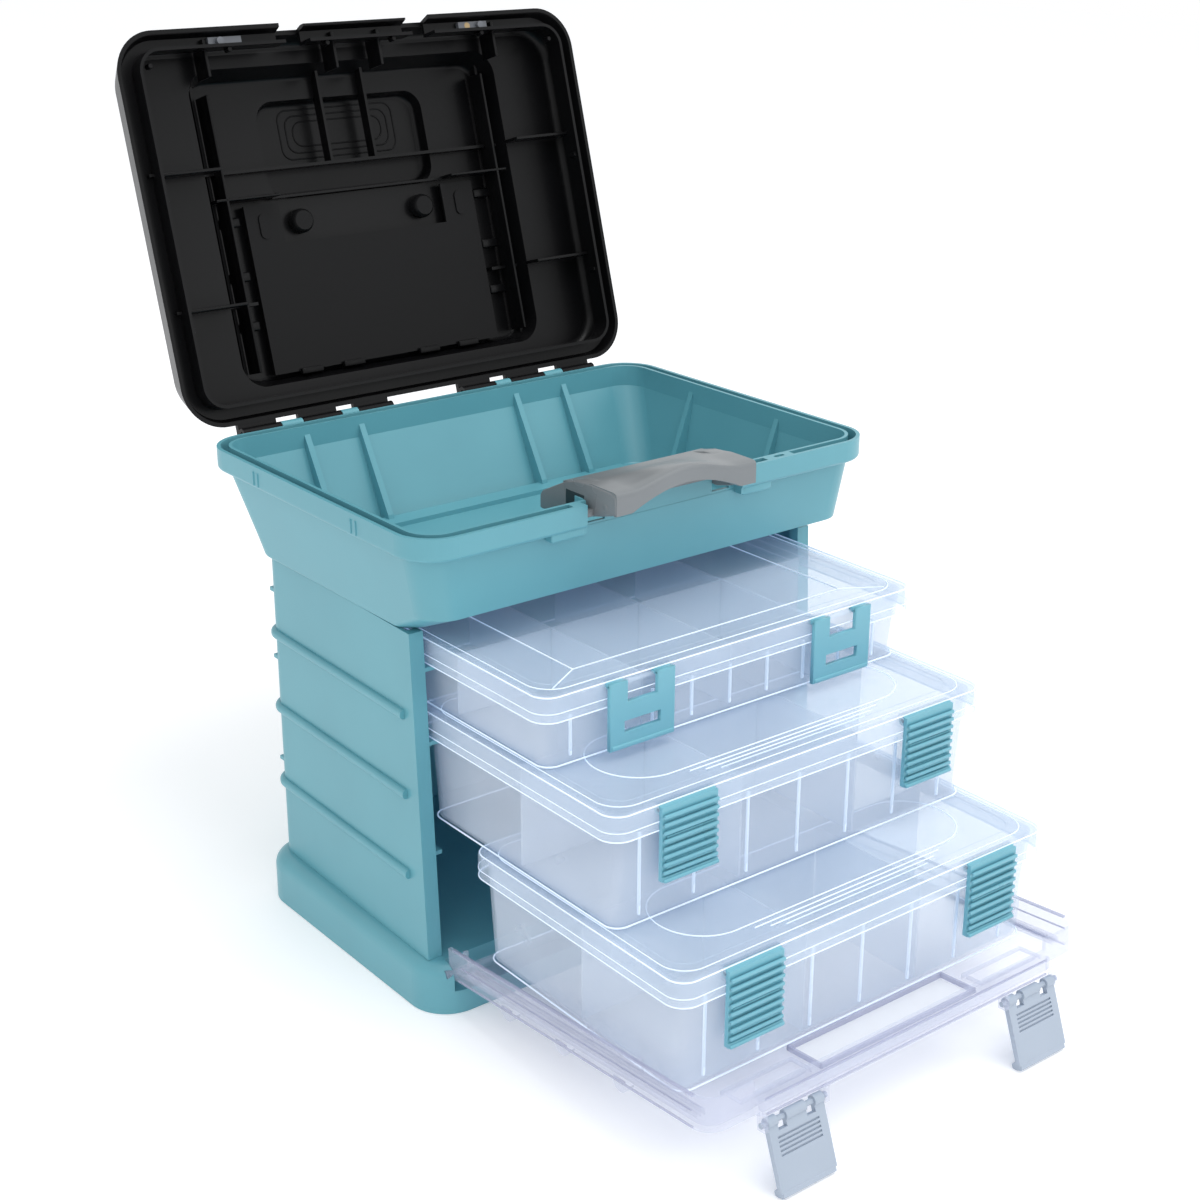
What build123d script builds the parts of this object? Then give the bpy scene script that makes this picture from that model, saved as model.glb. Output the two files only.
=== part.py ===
from build123d import *
import os

# Craft storage rack, drawn as it stands in the photo: lid up, front door down, three
# organizers pulled forward. X runs right, Y runs back, Z runs up, the table is Z = 0.

# Plinth
PLINTH_HALF_WIDTH = 159.5
PLINTH_FRONT_Y = -108.0
PLINTH_BACK_Y = 96.0
PLINTH_HEIGHT = 31.7
PLINTH_CORNER_R = 25.0
PLINTH_SHOULDER_R = 9.0
PLINTH_WALL = 3.0

# Upright housing between the plinth and the top tub
HOUSING_FRONT_HALF = 152.6
HOUSING_BACK_HALF = 148.7
HOUSING_BACK_Y = 87.0
HOUSING_BACK_CORNER_R = 12.0
HOUSING_TOP_Z = 234.8
HOUSING_WALL = 2.5
COLUMN_FRONT_TOP_Y = -81.0
COLUMN_FRONT_BOTTOM_Y = -91.0
COLUMN_DEPTH = 17.6
COLUMN_INNER_HALF = 143.0
SIDE_RIB_Z = (78.4, 130.4, 180.7)
SIDE_RIB_HEIGHT = 6.0
SIDE_RIB_PROUD = 3.0
BACK_PANEL_HALF = 130.0

# Open tub on top of the housing
RIM_HALF_WIDTH = 169.0
RIM_HALF_DEPTH = 120.7
RIM_TOP_Z = 301.4
RIM_BAND_HEIGHT = 13.9
RIM_CORNER_R = 25.0
RIM_RIDGE_INSET = 7.3
RIM_RIDGE_THICK = 2.0
RIM_BAND_WALL = 2.4
RIM_GROOVE_FLOOR = 2.5
TUB_TOP_HALF = 163.0
TUB_TOP_HALF_DEPTH = 113.7
TUB_FLOOR_FRONT_Y = -77.0
TUB_TOE_Y = -110.5
TUB_TOE_Z = 249.5
TUB_FLOOR_BACK_Y = 90.0
TUB_FLOOR_THICK = 2.5
TUB_BOTTOM_R = 16.0
GUSSET_THICK = 4.0
GUSSET_BACK_X = (-101.0, -61.0, 61.0, 101.0)
GUSSET_SIDE_Y = (-40.0, 45.0)

# Lid, measured closed and then swung open about its hinge
LID_HALF_WIDTH = 171.0
LID_HALF_DEPTH = 121.5
LID_SEAT_GAP = 0.5
LID_CORNER_R = 27.0
LID_WALL = 2.5
LID_SHOULDER_HEIGHT = 24.0
LID_SHOULDER_INSET = 7.0
LID_PLATEAU_HALF = 113.0
LID_PLATEAU_FRONT_Y = -96.0
LID_PLATEAU_BACK_Y = 106.0
LID_PLATEAU_HEIGHT = 41.5
LID_CROWN_HALF = 64.0
LID_CROWN_FRONT_Y = -80.0
LID_CROWN_BACK_Y = -16.0
LID_CROWN_HEIGHT = 50.0
LID_RIDGE_DROP = 5.5
LID_OPEN_DEG = 106.3
HINGE_Y = 127.5
HINGE_Z = 298.7
KNUCKLE_R = 3.6
LID_PIN_R = 1.5
LID_KNUCKLES = ((28.0, 54.0), (67.0, 95.0), (111.0, 138.0))
TUB_KNUCKLES = ((54.5, 66.5), (95.5, 110.5))
RUNNING_GAP = 0.05

# Carrying handle on the front rim
HANDLE_HALF_WIDTH = 52.0
HANDLE_ARM_WIDTH = 10.5
HANDLE_PIVOT_Y = -116.5
HANDLE_PIVOT_Z = 295.0
HANDLE_PIN_R = 2.2
HANDLE_RECESS_HALF = 57.8
HANDLE_LUG_WIDTH = 8.0
HANDLE_GRIP_FRONT_Y = -147.0
HANDLE_GRIP_DEPTH = 15.0
HANDLE_ARM_BACK_Y = -84.0

# Fold-down door, drawn flat from its hinge line and then tipped up at the front
DOOR_HALF_WIDTH = 144.0
DOOR_LENGTH = 228.0
DOOR_NOSE_LENGTH = 233.0
DOOR_NOSE_HALF = 112.0
DOOR_SKIN = 2.5
DOOR_SIDE_HEIGHT = 19.0
DOOR_CORNER_R = 12.0
DOOR_HINGE_Y = -102.5
DOOR_HINGE_Z = 26.0
DOOR_HINGE_PIN_R = 2.5
DOOR_TILT_DEG = 5.0
DOOR_LATCH_X = 91.0
DOOR_LATCH_WIDTH = 39.0
DOOR_LATCH_LENGTH = 40.5
DOOR_LATCH_THICK = 3.2
DOOR_LATCH_HANG_DEG = 70.0
DOOR_LATCH_PIN_R = 1.6

# Organizers, all of one plan size, two deep and one shallow
BOX_HALF_WIDTH = 139.7
BOX_DEPTH = 184.2
BOX_DEEP = 69.9
BOX_SHALLOW = 44.5
BOX_WALL = 1.8
TRAY_INSET = 4.7
TRAY_DRAFT = 3.0
LID_SKIRT = 15.0
LID_SKIRT_WALL = 1.6
BOX_CORNER_R = 12.0
BOX_GAP = 0.6
LOWER_BOX_Z = 42.6
LOWER_BOX_FRONT_Y = -301.6
MIDDLE_BOX_FRONT_Y = -247.2
TOP_BOX_FRONT_Y = -188.0
CLIP_THICK = 2.4
CLIP_PIN_R = 1.3
CLIP_GAP = 0.4
CLIP_PIN_BACK = 1.3
CLIP_PIN_DROP = 3.4
CLIP_CURL_WALL = 1.5
CLIP_PROUD = 3.6
RUNNER_TOP_GAP = 0.5
RUNNER_INNER_HALF = 136.4
RUNNER_THICK = 2.4

middle_box_z = LOWER_BOX_Z + BOX_DEEP + BOX_GAP
top_box_z = middle_box_z + BOX_DEEP + BOX_GAP
band_z = RIM_TOP_Z - RIM_BAND_HEIGHT
opening_half = RIM_HALF_WIDTH - RIM_RIDGE_INSET - RIM_RIDGE_THICK
opening_half_depth = RIM_HALF_DEPTH - RIM_RIDGE_INSET - RIM_RIDGE_THICK
lid_z = RIM_TOP_Z + LID_SEAT_GAP


def block(x0, x1, y0, y1, z0, z1):
    size = Box(abs(x1 - x0), abs(y1 - y0), abs(z1 - z0))
    return Pos((x0 + x1) / 2, (y0 + y1) / 2, (z0 + z1) / 2) * size


def rounded(half, y0, y1, radius, z0, z1):
    face = RectangleRounded(2 * half, y1 - y0, radius)
    return Pos(0, (y0 + y1) / 2, z0) * extrude(face, z1 - z0)


def tapered(half0, y00, y01, r0, z0, half1, y10, y11, r1, z1):
    low = Pos(0, (y00 + y01) / 2, z0) * RectangleRounded(2 * half0, y01 - y00, r0)
    high = Pos(0, (y10 + y11) / 2, z1) * RectangleRounded(2 * half1, y11 - y10, r1)
    return loft([low, high])


def side_profile(points, x0, x1):
    # Closed outline in the Y-Z plane, carried from x0 to x1
    face = make_face(Polyline(points, close=True))
    return Pos(x0, 0, 0) * extrude(Plane.YZ * face, x1 - x0)


def rod_x(x0, x1, y, z, radius):
    return Pos((x0 + x1) / 2, y, z) * Rot(0, 90, 0) * Cylinder(radius, abs(x1 - x0))


def mirrored(shape):
    return shape + mirror(shape, Plane.YZ)


def turned(shape, y, z, degrees):
    return Pos(0, y, z) * Rot(degrees, 0, 0) * Pos(0, -y, -z) * shape


# Plinth
def base_plinth():
    outer = rounded(PLINTH_HALF_WIDTH, PLINTH_FRONT_Y, PLINTH_BACK_Y, PLINTH_CORNER_R, 0, PLINTH_HEIGHT)
    outer = fillet(outer.edges().group_by(Axis.Z)[-1], PLINTH_SHOULDER_R)
    inside = rounded(
        PLINTH_HALF_WIDTH - PLINTH_WALL,
        PLINTH_FRONT_Y + PLINTH_WALL,
        PLINTH_BACK_Y - PLINTH_WALL,
        PLINTH_CORNER_R - PLINTH_WALL,
        -1,
        PLINTH_HEIGHT - PLINTH_WALL,
    )
    inside = fillet(inside.edges().group_by(Axis.Z)[-1], PLINTH_SHOULDER_R - PLINTH_WALL)
    body = outer - inside
    # One stiffening rib under the deck reaches down to the table
    body += block(-1.5, 1.5, PLINTH_FRONT_Y + 2, PLINTH_BACK_Y - 2, 0, PLINTH_HEIGHT - 2) & outer
    # Front pocket for the door's hinge edge, closed below and behind
    pocket_half = DOOR_HALF_WIDTH + 0.5
    floor_z = DOOR_HINGE_Z - 11
    back_y = DOOR_HINGE_Y + 7
    lining = block(-pocket_half - 9, pocket_half + 9, PLINTH_FRONT_Y, back_y + 3, floor_z - 2.5, PLINTH_HEIGHT)
    body += lining & outer
    body -= block(-pocket_half, pocket_half, PLINTH_FRONT_Y - 5, back_y, floor_z, PLINTH_HEIGHT + 1)
    reach = pocket_half + 4
    body -= rod_x(-reach, reach, DOOR_HINGE_Y, DOOR_HINGE_Z, DOOR_HINGE_PIN_R + RUNNING_GAP)
    # Small drain slot in the deck
    body -= block(-60, -44, -82, -78, PLINTH_HEIGHT - 6, PLINTH_HEIGHT + 1)
    return body


# Housing: two side panels that wrap round the back corners, and the back panel between them
def housing_plan(grow, front_y):
    points = (
        (-HOUSING_FRONT_HALF - grow, front_y),
        (HOUSING_FRONT_HALF + grow, front_y),
        (HOUSING_BACK_HALF + grow, HOUSING_BACK_Y + grow),
        (-HOUSING_BACK_HALF - grow, HOUSING_BACK_Y + grow),
    )
    face = make_face(Polyline(points, close=True))
    corners = face.vertices().group_by(Axis.Y)[-1]
    return fillet(corners, HOUSING_BACK_CORNER_R + grow)


def housing_layer(grow, z0, z1):
    return Pos(0, 0, z0) * extrude(housing_plan(grow, COLUMN_FRONT_BOTTOM_Y - 4), z1 - z0)


def runner_heights():
    heights = []
    for base, height in ((LOWER_BOX_Z, BOX_DEEP), (middle_box_z, BOX_DEEP), (top_box_z, BOX_SHALLOW)):
        heights.append(base + height - LID_SKIRT - RUNNER_TOP_GAP)
    return heights


def side_panel(side):
    z0, z1 = PLINTH_HEIGHT, HOUSING_TOP_Z
    shell = housing_layer(0, z0, z1) - housing_layer(-HOUSING_WALL, z0 - 1, z1 + 1)
    # Raised half-round ribs run along the side and round the back corner
    for z in SIDE_RIB_Z:
        rib = housing_layer(SIDE_RIB_PROUD, z, z + SIDE_RIB_HEIGHT)
        rib = fillet(rib.edges().group_by(Axis.Z)[0] + rib.edges().group_by(Axis.Z)[-1], 2.6)
        rib -= housing_layer(-1, z - 1, z + SIDE_RIB_HEIGHT + 1)
        rib -= block(-200, 200, -200, COLUMN_FRONT_BOTTOM_Y + COLUMN_DEPTH, z - 1, z + SIDE_RIB_HEIGHT + 1)
        shell += rib
    column = block(COLUMN_INNER_HALF, HOUSING_FRONT_HALF - 1, -95, -95 + 4 + COLUMN_DEPTH, z0, z1)
    column -= block(COLUMN_INNER_HALF + 2, HOUSING_FRONT_HALF - HOUSING_WALL, -75, -60, z0 - 1, z1 + 1)
    shell += column
    # Runner ledges under the organizers' lid edges
    for z in runner_heights():
        outer = HOUSING_BACK_HALF - 1
        shell += block(RUNNER_INNER_HALF, outer, -84, HOUSING_BACK_Y - 2, z - RUNNER_THICK, z)
    # Front edge leans back towards the top
    lean = side_profile(
        ((-140, z0 - 1), (COLUMN_FRONT_BOTTOM_Y, z0 - 1), (COLUMN_FRONT_TOP_Y, z1 + 1), (-140, z1 + 1)),
        -200,
        200,
    )
    shell -= lean
    # The open front and the place of the back panel
    shell -= block(-COLUMN_INNER_HALF, COLUMN_INNER_HALF, -120, -84, z0 - 1, z1 + 1)
    shell -= block(-200, BACK_PANEL_HALF, -200, 200, z0 - 1, z1 + 1)
    return shell if side > 0 else mirror(shell, Plane.YZ)


def back_panel():
    z0, z1 = PLINTH_HEIGHT, HOUSING_TOP_Z
    panel = block(-BACK_PANEL_HALF, BACK_PANEL_HALF, HOUSING_BACK_Y - HOUSING_WALL, HOUSING_BACK_Y, z0, z1)
    for z in SIDE_RIB_Z:
        rib = block(-BACK_PANEL_HALF, BACK_PANEL_HALF, HOUSING_BACK_Y - 1, HOUSING_BACK_Y + SIDE_RIB_PROUD, z, z + 6)
        panel += fillet(rib.edges().filter_by(Axis.X).group_by(Axis.Y)[-1], 2.6)
    return panel


# Top tub
def tub_form(wall, low_z, half_top, half_depth_top, top_r):
    # Steep walls down to the toe of the front wall, then a front that slopes in to the floor
    share = (TUB_TOE_Z - HOUSING_TOP_Z) / (band_z - HOUSING_TOP_Z)
    toe_half = HOUSING_FRONT_HALF + share * (TUB_TOP_HALF - HOUSING_FRONT_HALF) - wall
    toe_back = TUB_FLOOR_BACK_Y + share * (TUB_TOP_HALF_DEPTH - TUB_FLOOR_BACK_Y) - wall
    toe_r = TUB_BOTTOM_R + 2 - wall
    toe_z = TUB_TOE_Z + wall / 2
    low = tapered(
        HOUSING_FRONT_HALF - wall, TUB_FLOOR_FRONT_Y + wall, TUB_FLOOR_BACK_Y - wall, TUB_BOTTOM_R - wall, low_z,
        toe_half, TUB_TOE_Y + wall, toe_back, toe_r, toe_z,
    )
    high = tapered(
        toe_half, TUB_TOE_Y + wall, toe_back, toe_r, toe_z,
        half_top, -half_depth_top, half_depth_top, top_r, band_z,
    )
    return low + high


def top_tub():
    z0 = HOUSING_TOP_Z
    bowl = tub_form(0, z0, TUB_TOP_HALF, TUB_TOP_HALF_DEPTH, 20)
    bowl = fillet(bowl.edges().group_by(Axis.Z)[0], 3)
    band = rounded(RIM_HALF_WIDTH, -RIM_HALF_DEPTH, RIM_HALF_DEPTH, RIM_CORNER_R, band_z, RIM_TOP_Z)
    band = fillet(band.edges().group_by(Axis.Z)[0], 2.5)
    body = bowl + band
    # Groove between the outer band and the inner ridge
    groove_out = RIM_BAND_WALL
    groove_z = band_z + RIM_GROOVE_FLOOR
    groove = rounded(
        RIM_HALF_WIDTH - groove_out, -RIM_HALF_DEPTH + groove_out, RIM_HALF_DEPTH - groove_out,
        RIM_CORNER_R - groove_out, groove_z, RIM_TOP_Z + 1,
    )
    groove -= rounded(
        RIM_HALF_WIDTH - RIM_RIDGE_INSET, -RIM_HALF_DEPTH + RIM_RIDGE_INSET,
        RIM_HALF_DEPTH - RIM_RIDGE_INSET, RIM_CORNER_R - RIM_RIDGE_INSET, groove_z - 1, RIM_TOP_Z + 2,
    )
    for side in (-1, 1):
        x0 = HANDLE_RECESS_HALF - 1
        x1 = HANDLE_RECESS_HALF + HANDLE_LUG_WIDTH
        groove -= block(side * x0, side * x1, -130, -110, groove_z - 1, RIM_TOP_Z + 2)
    body -= groove
    # The hollow
    floor_z = z0 + TUB_FLOOR_THICK
    wall = HOUSING_WALL
    hollow = tub_form(wall, floor_z, opening_half, opening_half_depth, 16)
    hollow = fillet(hollow.edges().group_by(Axis.Z)[0], 2)
    hollow += rounded(opening_half, -opening_half_depth, opening_half_depth, 16, band_z, RIM_TOP_Z + 1)
    body -= hollow
    # Gusset ribs inside, pointed at the top and wider below
    for x in GUSSET_BACK_X:
        rib = side_profile(((118, 297), (112, 297), (80, z0 + 8), (78, z0 + 1), (118, z0 + 1)), x - 2, x + 2)
        body += rib & (bowl + hollow)
    for y in GUSSET_SIDE_Y:
        outline = Polyline(((166, 296), (160, 296), (141, z0 + 8), (139, z0 + 1), (166, z0 + 1)), close=True)
        rib = Pos(0, y + GUSSET_THICK / 2, 0) * extrude(Plane.XZ * make_face(outline), GUSSET_THICK)
        body += mirrored(rib) & (bowl + hollow)
    # Raised ledge along the back of the floor
    body += block(-130, 130, 70, 84, z0 + 1, floor_z + 3)
    # Recess in the middle of the front band, with room for the handle's arms
    body -= block(-HANDLE_RECESS_HALF, HANDLE_RECESS_HALF, -130, -TUB_TOP_HALF_DEPTH + 0.3, band_z - 1, RIM_TOP_Z + 1)
    arm_out = HANDLE_HALF_WIDTH + 1.5
    arm_in = HANDLE_HALF_WIDTH - HANDLE_ARM_WIDTH - 1.5
    for side in (-1, 1):
        body -= block(side * arm_in, side * arm_out, -125, -100, HANDLE_PIVOT_Z - 7, RIM_TOP_Z + 1)
    # Lugs at the ends of the band carry the handle's pins
    for side in (-1, 1):
        x0 = HANDLE_RECESS_HALF
        x1 = HANDLE_RECESS_HALF + HANDLE_LUG_WIDTH
        body += block(side * x0, side * x1, -RIM_HALF_DEPTH + 1, -TUB_TOP_HALF_DEPTH, band_z - 3, RIM_TOP_Z - 2)
        body -= rod_x(side * (x0 - 1), side * (x1 - 2), HANDLE_PIVOT_Y, HANDLE_PIVOT_Z, HANDLE_PIN_R + RUNNING_GAP)
    # Hinge knuckles along the back
    for x0, x1 in TUB_KNUCKLES:
        lug = rod_x(x0, x1, HINGE_Y, HINGE_Z, KNUCKLE_R)
        lug += block(x0, x1, RIM_HALF_DEPTH - 1, HINGE_Y, HINGE_Z - KNUCKLE_R, HINGE_Z)
        body += mirrored(lug)
        body -= mirrored(rod_x(x0 - 1, x1 + 1, HINGE_Y, HINGE_Z, LID_PIN_R + RUNNING_GAP))
    # Bracket plate with an oval slot at the right of the handle
    body += block(80, 101, -TUB_TOP_HALF_DEPTH - 5, -TUB_TOP_HALF_DEPTH + 1, RIM_TOP_Z - 2, RIM_TOP_Z)
    body -= Pos(91, -TUB_TOP_HALF_DEPTH - 2.2, RIM_TOP_Z - 3) * extrude(SlotOverall(8, 3), 5)
    return body


# Lid
def lid_layer(grow, top_trim):
    skirt = tapered(
        LID_HALF_WIDTH + grow, -LID_HALF_DEPTH - grow, LID_HALF_DEPTH + grow, LID_CORNER_R + grow, lid_z,
        LID_HALF_WIDTH - LID_SHOULDER_INSET + grow, -LID_HALF_DEPTH + LID_SHOULDER_INSET - grow,
        LID_HALF_DEPTH - LID_SHOULDER_INSET + grow, LID_CORNER_R + grow, lid_z + LID_SHOULDER_HEIGHT - top_trim,
    )
    skirt = fillet(skirt.edges().group_by(Axis.Z)[-1], 6)
    plateau = tapered(
        LID_PLATEAU_HALF + 9 + grow, LID_PLATEAU_FRONT_Y - 9 - grow, LID_PLATEAU_BACK_Y + grow, 18, lid_z + 12,
        LID_PLATEAU_HALF + grow, LID_PLATEAU_FRONT_Y - grow, LID_PLATEAU_BACK_Y - 6 + grow, 14,
        lid_z + LID_PLATEAU_HEIGHT - top_trim,
    )
    plateau = fillet(plateau.edges().group_by(Axis.Z)[-1], 3)
    crown = tapered(
        LID_CROWN_HALF + 4 + grow, LID_CROWN_FRONT_Y - 4 - grow, LID_CROWN_BACK_Y + 4 + grow, 14, lid_z + 30,
        LID_CROWN_HALF + grow, LID_CROWN_FRONT_Y - grow, LID_CROWN_BACK_Y + grow, 12,
        lid_z + LID_CROWN_HEIGHT - top_trim,
    )
    crown = fillet(crown.edges().group_by(Axis.Z)[-1], 3)
    return skirt + plateau + crown


def lid_ribs():
    # Low stiffening ribs on the underside of the lid's top
    top = lid_z + LID_PLATEAU_HEIGHT - 1
    low = lid_z + LID_PLATEAU_HEIGHT - LID_WALL - 9
    ribs = block(-128, 128, -37, -35, low, top)
    ribs += block(-66, 66, -18.5, -17, low + 3, top)
    for x in (17, 109):
        ribs += mirrored(block(x - 1, x + 1, LID_PLATEAU_FRONT_Y - 4, -36, low + 2, top))
    ribs += mirrored(block(108, 110, -36, LID_PLATEAU_BACK_Y - 4, low + 2, top))
    ribs += mirrored(block(92, 128, 47, 49, low, top))
    return ribs


def lid_shell():
    outer = lid_layer(0, 0)
    inner = lid_layer(-LID_WALL, LID_WALL)
    inner += rounded(
        LID_HALF_WIDTH - LID_WALL, -LID_HALF_DEPTH + LID_WALL, LID_HALF_DEPTH - LID_WALL,
        LID_CORNER_R - LID_WALL, lid_z - 1, lid_z + 1,
    )
    body = outer - inner
    body += lid_ribs() & (outer - lid_layer(-1, 1)) + (lid_ribs() & inner)
    # Inner ridge that drops inside the tub's rim, on a shelf behind the outer band
    half = opening_half - 1.2
    depth = opening_half_depth - 1.2
    ridge = rounded(half, -depth, depth, 15, lid_z - LID_RIDGE_DROP, lid_z + 9)
    ridge -= rounded(half - 2, -depth + 2, depth - 2, 13, lid_z - 10, lid_z + 10)
    shelf = rounded(LID_HALF_WIDTH - 1, -LID_HALF_DEPTH + 1, LID_HALF_DEPTH - 1, LID_CORNER_R - 1, lid_z + 7, lid_z + 9)
    shelf -= rounded(half - 2, -depth + 2, depth - 2, 13, lid_z - 10, lid_z + 10)
    body += ridge
    body += shelf & outer
    # Notches in the front edge for the handle's arms
    for side in (-1, 1):
        x0 = HANDLE_HALF_WIDTH - HANDLE_ARM_WIDTH - 3
        x1 = HANDLE_HALF_WIDTH + 4
        body -= block(side * x0, side * x1, -130, -103, lid_z - 8, lid_z + 10)
    # The middle of the front band stands back from its ends
    body -= block(-x0, x0, -130, -LID_HALF_DEPTH + 1.2, lid_z - 1, lid_z + 12)
    # Knuckles along the back edge
    for x0, x1 in LID_KNUCKLES:
        lug = rod_x(x0, x1, HINGE_Y, HINGE_Z, KNUCKLE_R)
        lug += block(x0, x1, HINGE_Y - 3, HINGE_Y, HINGE_Z, lid_z + 3.5)
        lug += block(x0, x1, LID_HALF_DEPTH - 2, HINGE_Y, lid_z + 0.3, lid_z + 3.5)
        body += mirrored(lug)
        body -= mirrored(rod_x(x0 - 1, x1 + 1, HINGE_Y, HINGE_Z, LID_PIN_R))
    return opened(body)


def opened(shape):
    return turned(shape, HINGE_Y, HINGE_Z, -LID_OPEN_DEG)


def lid_inner_plate():
    # Flat cover fixed under the lid's top, with two ears towards the front
    z1 = lid_z + LID_PLATEAU_HEIGHT - LID_WALL
    z0 = z1 - 7
    plate = block(-88.5, 88.5, 12, 95, z0, z0 + 2)
    plate += mirrored(block(63, 88.5, -14, 12, z0, z0 + 2))
    plate += mirrored(block(84, 86.5, -14, 95, z0, z1))
    plate += block(-86.5, 86.5, 90, 92.5, z0, z1)
    for x in (-76, 76):
        bump = Pos(x, 0, z0 - 1) * extrude(SlotOverall(16, 7, rotation=90), 2)
        plate += bump
    return opened(plate)


def lid_catch(side):
    # Pale plate set in the lid's front groove, with a round boss
    z1 = lid_z + 7
    plate = block(82, 105, -LID_HALF_DEPTH + 5.6, -opening_half_depth + 0.4, z1 - 3, z1)
    plate += Pos(98, -LID_HALF_DEPTH + 8.3, z1 - 4.5) * Cylinder(2.3, 3)
    plate = plate if side > 0 else mirror(plate, Plane.YZ)
    return opened(plate)


def lid_hinge_pins():
    return mirrored(rod_x(LID_KNUCKLES[0][0] + 1, LID_KNUCKLES[2][1] - 1, HINGE_Y, HINGE_Z, LID_PIN_R))


# Handle: an arched grip on two arms that reach over the rim
def carry_handle():
    arm = side_profile(
        (
            (HANDLE_ARM_BACK_Y, 287), (HANDLE_ARM_BACK_Y - 1, 296), (-95, 303), (-112, 305),
            (-128, 304), (HANDLE_GRIP_FRONT_Y + 4, 311), (HANDLE_GRIP_FRONT_Y, 309),
            (HANDLE_GRIP_FRONT_Y, 297), (-140, 293.5), (-125, 291), (-112, 292), (-95, 293.5),
        ),
        HANDLE_HALF_WIDTH - HANDLE_ARM_WIDTH,
        HANDLE_HALF_WIDTH,
    )
    arms = mirrored(arm)
    inner = HANDLE_HALF_WIDTH - HANDLE_ARM_WIDTH
    top = ThreePointArc((-HANDLE_HALF_WIDTH, 310), (0, 321), (HANDLE_HALF_WIDTH, 310))
    right = Line((HANDLE_HALF_WIDTH, 310), (HANDLE_HALF_WIDTH, 297))
    foot = Line((HANDLE_HALF_WIDTH, 297), (inner, 294.5))
    under = ThreePointArc((inner, 294.5), (0, 308), (-inner, 294.5))
    foot2 = Line((-inner, 294.5), (-HANDLE_HALF_WIDTH, 297))
    left = Line((-HANDLE_HALF_WIDTH, 297), (-HANDLE_HALF_WIDTH, 310))
    face = make_face([top, right, foot, under, foot2, left])
    grip = Pos(0, HANDLE_GRIP_FRONT_Y + HANDLE_GRIP_DEPTH, 0) * extrude(Plane.XZ * face, HANDLE_GRIP_DEPTH)
    body = arms + grip
    # Underside of the grip is hollowed like a channel
    channel = offset(face, -2.2)
    cut = Pos(0, HANDLE_GRIP_FRONT_Y + HANDLE_GRIP_DEPTH + 1, 0) * extrude(Plane.XZ * channel, HANDLE_GRIP_DEPTH - 1.2)
    body -= cut & block(-inner, inner, -200, -100, 280, 330)
    for side in (-1, 1):
        pin = rod_x(side * (HANDLE_HALF_WIDTH - 1), side * (HANDLE_RECESS_HALF + 4.5), HANDLE_PIVOT_Y, HANDLE_PIVOT_Z,
                    HANDLE_PIN_R)
        body += pin
    return body


# Door: clear tray-shaped panel, drawn lying flat with its hinge line on Y = 0, Z = 0
def laid(shape):
    return Pos(0, DOOR_HINGE_Y, DOOR_HINGE_Z) * Rot(-DOOR_TILT_DEG, 0, 0) * shape


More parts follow.
